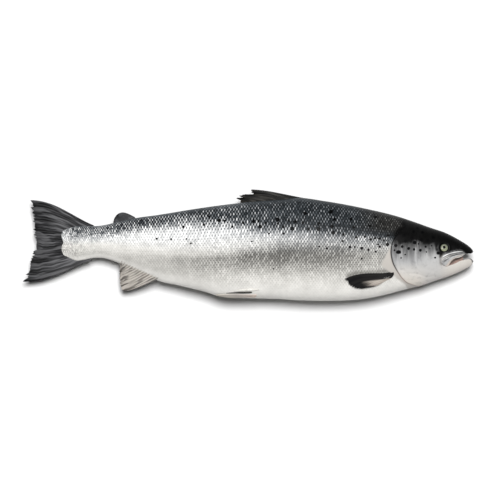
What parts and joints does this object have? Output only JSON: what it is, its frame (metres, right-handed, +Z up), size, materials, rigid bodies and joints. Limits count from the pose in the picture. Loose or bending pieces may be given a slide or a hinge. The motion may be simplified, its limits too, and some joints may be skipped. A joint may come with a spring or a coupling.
{
  "type": "raw whole salmon",
  "caption": "Raw whole salmon lying on its left flank, with head, mouth, eyes, gill covers, paired fins, ragged back fin, fleshy small fin, belly fin and spread tail.",
  "frame": {"origin": "centre of the bounding box in plan, on the surface the fish lies on", "axes": "+X towards the snout, +Y towards the back, +Z up from the surface; the right flank faces up"},
  "size_m": [0.7664, 0.189, 0.0874],
  "materials": {
    "skin": "wet silver scaled skin, slate grey with dark spots along the back, silver flank, cream belly; fins charcoal grey",
    "fin": "damp charcoal grey fin skin over fine rays, paler at the roots",
    "eye": "wet glossy eye, pale straw ring around a black pupil"
  },
  "bodies": {
    "root": {"salmon": "skin"}
  },
  "joints": []
}
